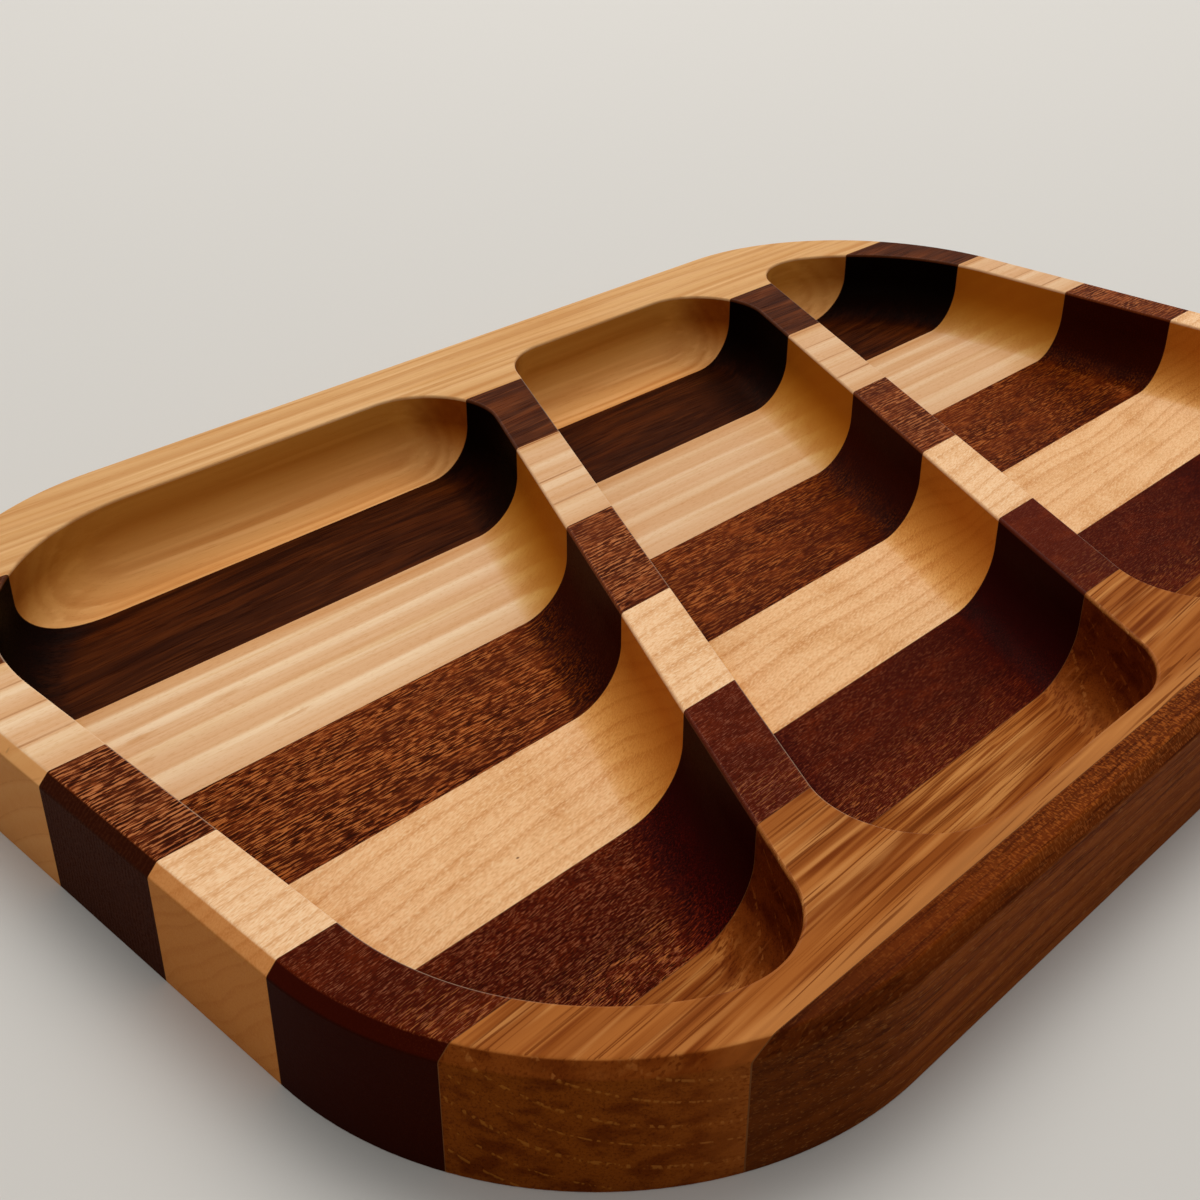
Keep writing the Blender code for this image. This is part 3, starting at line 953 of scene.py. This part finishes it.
# %% [markdown]
# ### The maple board
# Maple is pale and close. Its faint tan lines lie a few millimetres apart. The rings lean
# halfway between upright and flat, and the board was sawn a little off the tree's axis, so the
# lines slant. Very fine short ticks, light and dark, give it the look of orange peel.

# %% Maple: pinkish cream, close and plain, with fine leaning lines
wood = Wood("maple_oiled", 210, (0, -170, -150), ring_width=2.6, uneven=1.0, wander=8.0, run_out=-0.05)
wood.ground((250, 204, 157), (226, 168, 114), 0.5, 0.88, 0.65)
wood.tint(wood.grain(14, 9, 2, shift=3), (0.9, 0.83, 0.74), 0.46, 0.72)
wood.tint(wood.grain(26, 1.6, 2), (0.96, 0.92, 0.87), 0.5, 0.72)
ticks = wood.grain(0.9, 0.26, tilt=-0.12, shift=21)
wood.lay(ticks, (255, 222, 180), 0.5, 0.72, 0.6)
wood.tint(ticks, (0.91, 0.85, 0.78), 0.5, 0.34)
pores = wood.spread(wood.grain(1.3, 0.2, tilt=-0.05, shift=27), 0.58, 0.72)
wood.tint(pores, (0.9, 0.83, 0.76))
wood.lay(wood.fleck((-94.3, -32.5, 4.3), (0.4, 0.25, 0.6)), (110, 60, 26))
maple = finish(
    wood, ticks, pores, plain=(238, 188, 138), quiet=0.5, roughness=0.45, pore_dent=0.00002,
    floor=(0.965, 0.9, 0.81), wall=(0.58, 0.3, 0.06), foot=1.0, rise=0.34, lee=0.0,
    bevel=(0.77, 0.51, 0.28), side=(0.75, 0.6, 0.36), end=(0.52, 0.315, 0.134),
)

# %% [markdown]
# ### The mahogany board
# Mahogany is a deep red-brown with very fine rippled strokes, pinkish where the light wood
# shows and nearly black where the pores are. The grain leans across the board, so the strokes
# do too. Towards the front of the board they grow golden. The wood is darker at its left end, and
# painted shade darkens the floor to the left of the second divider. The planed top is sanded
# finer than the pocket floors, so its strokes are fainter.

# %% Mahogany: dark red-brown, rippled, with fine pores
wood = Wood("mahogany_oiled", 300, (0, -40, -120), ring_width=3.6, run_out=0.01)
fibre = wood.grain(16, 0.4, 3)
rougher_floor = calc(wood.tree, "MULTIPLY_ADD", wood.of["Routed"], 0.35, 0.65)
lively = wood.times(wood.along(-110, -10, 1.0, 0.5), rougher_floor)
wood.ground((90, 25, 4), (80, 20, 3), 0.2, 0.8)
wood.lay(wood.grain(6, 3.5, 2, shift=41), (114, 40, 8), 0.46, 0.7, 0.5)
wood.tint(wood.of["Broad"], (0.76, 0.66, 0.6), 0.42, 0.75)
crumbs = wood.times(wood.grain(0.45, 0.3, tilt=-0.2, shift=33), 0.25)
strokes = calc(wood.tree, "MULTIPLY_ADD", wood.grain(1.3, 0.12, tilt=-0.07), 0.75, crumbs)
wood.lay(wood.times(wood.spread(strokes, 0.54, 0.64), lively), (168, 102, 74), most=0.7)
golden = wood.spread(wood.grain(2.4, 0.2, tilt=-0.05, shift=5), 0.55, 0.66)
wood.lay(wood.times(wood.across(-50, -60), golden, lively), (200, 122, 70), most=0.75)
pores = wood.times(wood.spread(strokes, 0.49, 0.4), lively)
wood.fill(pores, 0.85, (40, 7, 1))
# Painted shade on the pocket floors to the left of the wall on the right, weaker towards the right
wood.tint(wood.times(wood.of["Shelter"], wood.along(-66, -50, 1.0, 0.5)), (0.5, 0.34, 0.3))
wood.tint(wood.along(-116, -128), (0.88, 0.82, 0.68))
mahogany = finish(
    wood, fibre, pores, plain=(84, 27, 8), quiet=0.9, roughness=0.44, pore_dent=0.00002,
    floor=(0.88, 0.77, 0.58), wall=(0.2, 0.02, 0.006), foot=0.6, rise=0.18, lee=0.25,
    bevel=(0.4, 0.26, 0.2), side=(0.52, 0.36, 0.25), end=(0.23, 0.17, 0.04),
)

# %% [markdown]
# ### The oak board
# Oak is ring-porous: each year starts with a row of large open vessels. Cut along the board
# they are long dark lines. Between the lines the wood streaks from reddish brown to honey.
# This board is flat-sawn: the tree's heart lies well above it, and the rows on its end lie
# nearly level.

# %% Oak: golden brown with strong dark grain
wood = Wood("oak_oiled", 360, (0, -92, 62), ring_width=3.4, uneven=0.8, wander=2.5, run_out=-0.04)
fibre = wood.grain(30, 0.4, 3)
wood.ground((176, 105, 47), (160, 91, 38), 0.2, 0.8)
wood.tint(wood.grain(60, 2.6, 2), (0.68, 0.55, 0.4), 0.46, 0.64)
wood.lay(wood.grain(34, 1.6, shift=29), (204, 138, 76), 0.5, 0.7, 0.75)
wood.tint(wood.grain(28, 1.3, shift=37), (0.62, 0.46, 0.32), 0.5, 0.7)
wood.tint(fibre, (0.84, 0.76, 0.66), 0.5, 0.7)
fine = wood.spread(wood.grain(14, 0.3, shift=61), 0.5, 0.64)
wood.tint(wood.times(fine, wood.of["Routed"]), (0.62, 0.48, 0.36))
wood.tint(wood.across(-78, -84), (0.9, 0.84, 0.76))
wood.lay(wood.across(-84.8, -86.8), (206, 137, 74), most=0.55)
rows = wood.spread(wood.grain(40, 2.4, shift=23), 0.42, 0.56)
pores = wood.times(wood.spread(wood.grain(30, 0.4), 0.54, 0.64), rows)
wood.fill(pores, 0.8, (114, 54, 16))

# %% [markdown]
# ### The oak's ends
# Across the grain the large vessels are rows of pale dots that follow the rings. Thin rays run
# from the heart outwards, and show in the pockets' corners as pale scratches.

# %% The end grain of the oak
long_grain = wood.shade
wood.shade = mixed(wood.tree, wood.of["Grit"], colour(180, 110, 50), colour(140, 80, 32))
blotches = cloud(wood.tree, stretch(wood.tree, wood.of["Spot"], (5, 4, 2.2)), 3.0)
wood.tint(blotches, (0.6, 0.48, 0.38), 0.42, 0.66)
wood.tint(wood.of["Grit"], (0.75, 0.66, 0.58), 0.5, 0.7)
dots = wood.spread(cloud(wood.tree, stretch(wood.tree, wood.of["Spot"], (0.7, 0.7, 1.2)), 1.0), 0.46, 0.62)
wood.lay(wood.times(wood.spread(wood.of["Ring"], 0.16, 0.05), dots), (216, 156, 94), most=0.6)
ray_place = add(wood.tree, "ShaderNodeCombineXYZ", {
    "X": wood.times(wood.of["Round"], 70.0), "Y": wood.times(wood.of["Reach"], 0.2), "Z": 0.5,
}).outputs[0]
rays = wood.times(wood.spread(cloud(wood.tree, ray_place, 1.0), 0.62, 0.7), wood.of["Routed"])
wood.lay(rays, (206, 140, 84), most=0.4)
end_grain, wood.shade = wood.shade, long_grain
oak = finish(
    wood, fibre, pores, plain=(158, 90, 38), quiet=0.5, roughness=0.46, pore_dent=0.000005, ends=end_grain,
    floor=(1.05, 1.06, 1.0), wall=(0.42, 0.21, 0.085), wall_end=(0.3, 0.135, 0.06),
    foot=0.6, rise=0.6, lee=0.2, bevel=(0.52, 0.36, 0.22), side=(0.67, 0.52, 0.38), end=(0.44, 0.3, 0.11),
)

# %% [markdown]
# ### The front edge board
# A narrow strip of a reddish wood closes the front. Its planed top is smooth and dark at the
# left and has a fine ripple across the grain at the right. Short light flecks lie all over it.
# Its sawn side is browner and nearly plain, with long dark streaks near the top. The side's tint
# is above one, because the side is the lighter cut.

# %% Edge wood: reddish brown with a fine ripple across the grain
wood = Wood("edge_wood_oiled", 420, (0, -60, 120), ring_width=3.0)
fibre = wood.grain(24, 0.6, 3)
wood.ground((104, 43, 5), (89, 34, 3), 0.2, 0.8)
wood.tint(wood.grain(50, 1.4, 2), (0.76, 0.68, 0.6), 0.48, 0.7)
lively = wood.times(wood.along(-90, -30, 0.3, 1.0), wood.spread(wood.of["Steep"], 0.6, 0.1))
wood.lay(lively, (134, 62, 14), most=0.2)
ripple = wood.spread(wood.grain(0.32, 0.6, shift=3), 0.48, 0.62)
wood.lay(wood.times(ripple, lively), (176, 94, 34), most=0.55)
wood.tint(fibre, (0.84, 0.76, 0.68), 0.48, 0.75)
streaks = wood.spread(wood.grain(14, 0.5, 2, shift=15), 0.5, 0.66)
wood.tint(wood.times(streaks, wood.spread(wood.part("Z"), 6, 14)), (0.62, 0.54, 0.46))
wood.tint(wood.along(-76, -104), (0.56, 0.54, 0.6))
wood.lay(wood.grain(1.6, 0.3, 2, shift=71), (140, 78, 30), 0.56, 0.72, 0.3)
pores = wood.spread(wood.grain(5, 0.28), 0.58, 0.7)
wood.fill(pores, 0.4, (50, 20, 5))
edge_wood = finish(
    wood, fibre, pores, plain=(92, 42, 12), quiet=0.5, roughness=0.46, pore_dent=0.00002,
    floor=(1.0, 1.0, 1.0), wall=(1.0, 1.0, 1.0), wall_end=(0.6, 0.5, 0.4),
    foot=0.5, rise=1.0, lee=0.0, bevel=(0.94, 1.03, 1.5), side=(1.5, 1.95, 2.7), end=(0.6, 0.55, 0.7),
)

# %% [markdown]
# ### The glue
# Between the boards lies a film of glue a tenth of a millimetre thick. It shows as a hairline,
# so it is a piece of its own with a plain brown finish.

# %% Glue: a thin film between the boards
SPECK_SIZE = (0.0012, 0.0012, 0.0012)
GLUE_RELIEF = 0.00001
glue = bpy.data.materials.new("wood_glue")
glue.use_nodes = True
tree = glue.node_tree
tree.nodes.clear()
here = add(tree, "ShaderNodeTexCoord").outputs["Object"]
specks = cloud(tree, stretch(tree, here, SPECK_SIZE), 3.0, 0.6)
film = mixed(tree, specks, colour(86, 50, 24), colour(118, 72, 38))
glue_bump = add(tree, "ShaderNodeBump", {"Height": specks, "Distance": GLUE_RELIEF})
glue_shader = add(tree, "ShaderNodeBsdfPrincipled", {
    "Base Color": film, "Normal": glue_bump.outputs[0], "Specular IOR Level": SHEEN,
    "Roughness": spread(tree, specks, 0.3, 0.7, 0.35, 0.5),
})
add(tree, "ShaderNodeOutputMaterial", {"Surface": glue_shader.outputs[0]})
print("finish:", glue.name)

# %% [markdown]
# ## The boards and the glue
# The frame says where each board begins and ends. The outermost two run past the outline, so
# that the slice there is the outline itself. The gaps between neighbours become the glue.

# %% Make the boards
Strip = namedtuple("Strip", "piece node slot wood")
strips = [
    Strip("ash_strip", "back_ash_board", "ash", ash),
    Strip("walnut_strip", "walnut_board", "walnut", walnut),
    Strip("poplar_strip", "poplar_board", "poplar", poplar),
    Strip("sapele_strip", "sapele_board", "sapele", sapele),
    Strip("maple_strip", "maple_board", "maple", maple),
    Strip("mahogany_strip", "mahogany_board", "mahogany", mahogany),
    Strip("oak_strip", "oak_board", "oak", oak),
    Strip("edge_strip", "front_edge_board", "edge_wood", edge_wood),
]
spans = [(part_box(strip.node)[1][1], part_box(strip.node)[0][1]) for strip in strips]
for strip, (back, front) in zip(strips, spans):
    outer_back = OVERRUN if strip is strips[0] else 0
    outer_front = OVERRUN if strip is strips[-1] else 0
    piece = slice_boards(strip.piece, [(back + outer_back, front - outer_front)], strip.wood)
    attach(piece, "root")
    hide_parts(strip.node)

films = [(this[1], after[0]) for this, after in zip(spans, spans[1:])]
glue_films = slice_boards("glue_films", films, glue)
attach(glue_films, "root")
print("glue films in mm:", [round((back - front) * 1000, 3) for back, front in films])

# %% [markdown]
# ### The floor
# The tray stands on a sheet of pale matt paper that shows its soft shadow. Far away, where the
# lamps hardly reach the paper, the camera and the mirror rays see the plain background tone, so
# a low view has no dark horizon. The light that bounces about is left as it is.

# %% Floor
BACKGROUND = colour(222, 219, 213)
PAPER = colour(214, 212, 208)
PAPER_ROUGHNESS = 0.9
FLOOR_REACH = 6.0
NEAR_PAPER, FAR_PAPER = 0.5, 1.3


def seen_directly(tree):
    """One for the camera, for mirror rays and for rays through glass, and zero for bounced light."""
    ray = add(tree, "ShaderNodeLightPath").outputs
    direct = calc(tree, "MAXIMUM", ray["Is Camera Ray"], ray["Is Glossy Ray"])
    return calc(tree, "MAXIMUM", direct, ray["Is Transmission Ray"])


floor_mesh = bpy.data.meshes.new("studio_floor")
sides = ((-1, -1), (1, -1), (1, 1), (-1, 1))
floor_mesh.from_pydata([(x * FLOOR_REACH, y * FLOOR_REACH, 0) for x, y in sides], [], [(0, 1, 2, 3)])
floor = placed("studio_floor", floor_mesh)
floor_paint = bpy.data.materials.new("studio_paper")
floor_paint.use_nodes = True
tree = floor_paint.node_tree
paper = tree.nodes["Principled BSDF"]
paper.inputs["Base Color"].default_value = PAPER
paper.inputs["Roughness"].default_value = PAPER_ROUGHNESS
in_plane = joined(tree, "MULTIPLY", add(tree, "ShaderNodeTexCoord").outputs["Object"], (1, 1, 0))
from_tray = add(tree, "ShaderNodeVectorMath", {0: in_plane}, operation="LENGTH").outputs["Value"]
away = spread(tree, from_tray, NEAR_PAPER, FAR_PAPER)
backdrop = add(tree, "ShaderNodeEmission", {"Color": BACKGROUND, "Strength": 1.0})
paper_or_backdrop = add(tree, "ShaderNodeMixShader", {
    0: times(tree, away, seen_directly(tree)), 1: paper.outputs[0], 2: backdrop.outputs[0],
})
feed(tree, tree.nodes["Material Output"].inputs["Surface"], paper_or_backdrop.outputs[0])
floor_mesh.materials.append(floor_paint)
print("paper floor:", FLOOR_REACH * 2, "m wide")

# %% [markdown]
# ### The light
# One large softbox behind and to the right of the tray gives the soft shadow towards the camera
# and leaves the near walls of the pockets dark, as in a small product studio. A weak warm fill
# from the front keeps the near side readable, and an even pale sky does the rest.

# %% Light
SKY = (1.0, 0.985, 0.96, 1)
SKY_STRENGTH = 0.385
TRAY_MIDDLE = (0, 0, 0)

world = bpy.data.worlds.new("studio")
bpy.context.scene.world = world
world.use_nodes = True
sky_tree = world.node_tree
sky = sky_tree.nodes["Background"]
sky.inputs["Color"].default_value = SKY
sky.inputs["Strength"].default_value = SKY_STRENGTH
seen = add(sky_tree, "ShaderNodeBackground", {"Color": BACKGROUND, "Strength": 1.0})
both = add(sky_tree, "ShaderNodeMixShader", {
    0: seen_directly(sky_tree), 1: sky.outputs[0], 2: seen.outputs[0],
})
feed(sky_tree, sky_tree.nodes["World Output"].inputs["Surface"], both.outputs[0])


def softbox(name, place, width, depth, power, tint):
    """A large lamp turned towards the tray."""
    lamp = bpy.data.lights.new(name, "AREA")
    lamp.shape = "RECTANGLE"
    lamp.size, lamp.size_y = width, depth
    lamp.energy = power
    lamp.color = tint
    made = placed(name, lamp)
    made.location = place
    direction = Vector(TRAY_MIDDLE) - Vector(place)
    made.rotation_euler = direction.to_track_quat("-Z", "Y").to_euler()
    print(name, power, "W")


softbox("key_softbox", (0.58, 0.58, 1.5), width=1.4, depth=1.4, power=20.6, tint=(1.0, 0.97, 0.93))
softbox("front_fill", (-1.3, -1.3, 0.9), width=1.0, depth=0.6, power=2.2, tint=(1.0, 0.93, 0.84))

# %% [markdown]
# ### The camera
# It stands close to the near corner and looks along the diagonal and down, so the tray runs out
# of the picture on the left and on the right, as in the photograph.

# %% Camera
CAMERA_PLACE = (-0.2122, -0.1636, 0.1500)
CAMERA_TILT, CAMERA_HEADING = math.radians(59.56), math.radians(-45.75)
SENSOR_WIDTH, LENS = 36, 47.84

camera_data = bpy.data.cameras.new("camera")
camera = placed("camera", camera_data)
bpy.context.scene.camera = camera
camera.location = CAMERA_PLACE
camera.rotation_euler = (CAMERA_TILT, 0, CAMERA_HEADING)
camera_data.sensor_width = SENSOR_WIDTH
camera_data.lens = LENS
camera_data.clip_start = 0.01
bpy.context.scene.view_settings.view_transform = "Standard"
print("lens", round(camera_data.lens, 1), "mm")

# %% [markdown]
# ## The end
# The guides have done their work and go.

# %% Remove the guides
guides = [outline_guide, panel, *pocket_guides, outline_path, *pocket_paths, bit_profile, outline_profile]
for guide in guides:
    bpy.data.objects.remove(guide)
